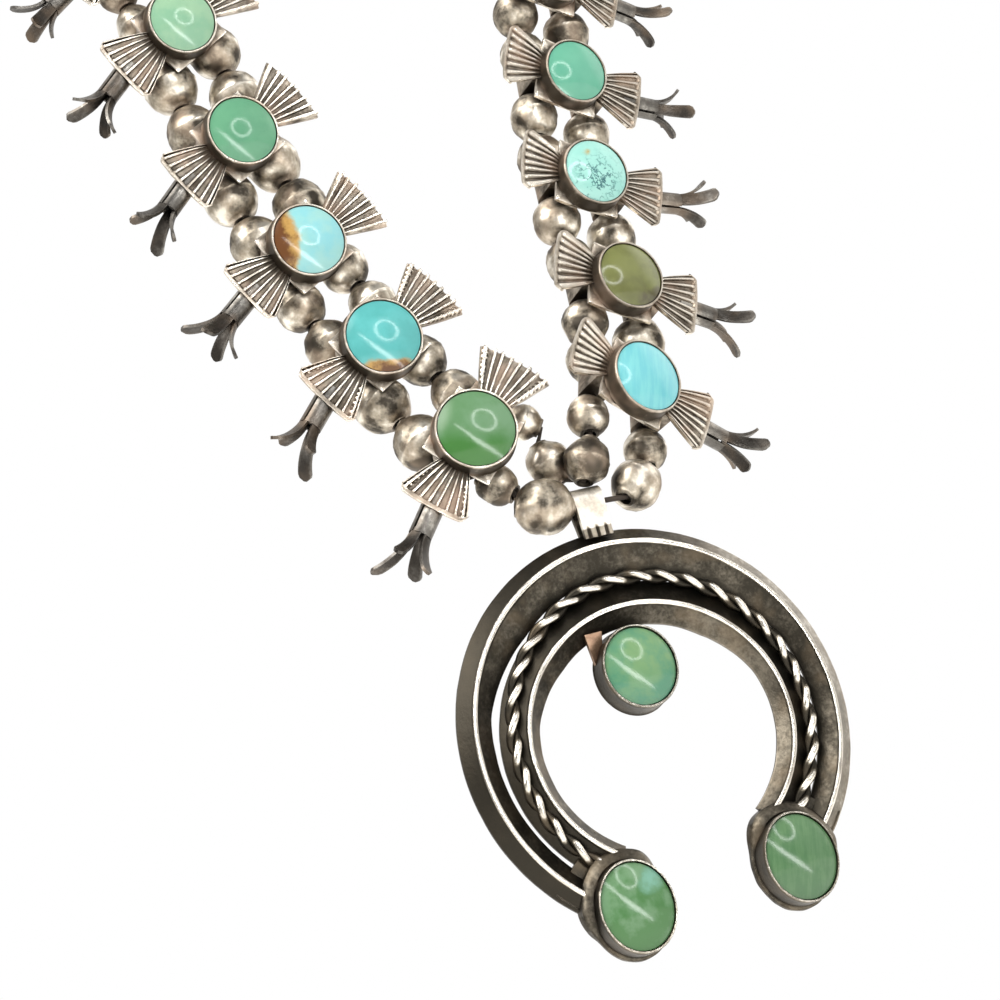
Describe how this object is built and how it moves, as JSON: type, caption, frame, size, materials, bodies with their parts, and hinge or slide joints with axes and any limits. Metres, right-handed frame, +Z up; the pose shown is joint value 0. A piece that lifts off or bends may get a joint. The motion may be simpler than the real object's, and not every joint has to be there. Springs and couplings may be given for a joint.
{
  "type": "squash blossom necklace",
  "caption": "Two-string necklace of hand-made silver beads with bow-shaped blossom stations, green and blue cabochons and a swinging crescent pendant.",
  "frame": {"origin": "where the strings rest on the back of the neck, in the middle of the clasp's neck side", "axes": "+Z up as worn, -Y the way the wearer faces, +X to the viewer's right"},
  "size_m": [0.1436, 0.1477, 0.314],
  "materials": {
    "silver": "worn oxidised silver",
    "bead_silver": "dented oxidised silver",
    "stone_green": "polished",
    "stone_blue": "polished",
    "thread": "waxed cord"
  },
  "bodies": {
    "strand": {"station_l1": "silver", "station_l2": "silver", "station_l3": "silver", "station_l4": "silver", "station_l5": "silver", "station_l6": "silver", "station_r1": "silver", "station_r2": "silver", "station_r3": "silver", "station_r4": "silver", "station_r5": "silver", "station_r6": "silver", "stone_l1": "stone_green", "stone_l2": "stone_blue", "stone_l3": "stone_blue", "stone_l4": "stone_green", "stone_l5": "stone_green", "stone_l6": "stone_blue", "stone_r1": "stone_blue", "stone_r2": "stone_green", "stone_r3": "stone_blue", "stone_r4": "stone_green", "stone_r5": "stone_blue", "stone_r6": "stone_green", "beads_left_inner": "bead_silver", "beads_left_outer": "bead_silver", "beads_right_inner": "bead_silver", "beads_right_outer": "bead_silver", "thread_inner": "thread", "thread_outer": "thread", "clasp": "silver"},
    "naja": {"naja": "silver", "naja_stone_left": "stone_green", "naja_stone_right": "stone_green", "naja_stone_middle": "stone_green"}
  },
  "joints": [
    {"name": "naja_swing", "type": "hinge", "parent": "strand", "child": "naja", "pos_m": [0, -0.1306, -0.2289], "axis": [1, 0, 0], "range_deg": [-75, 45]}
  ]
}
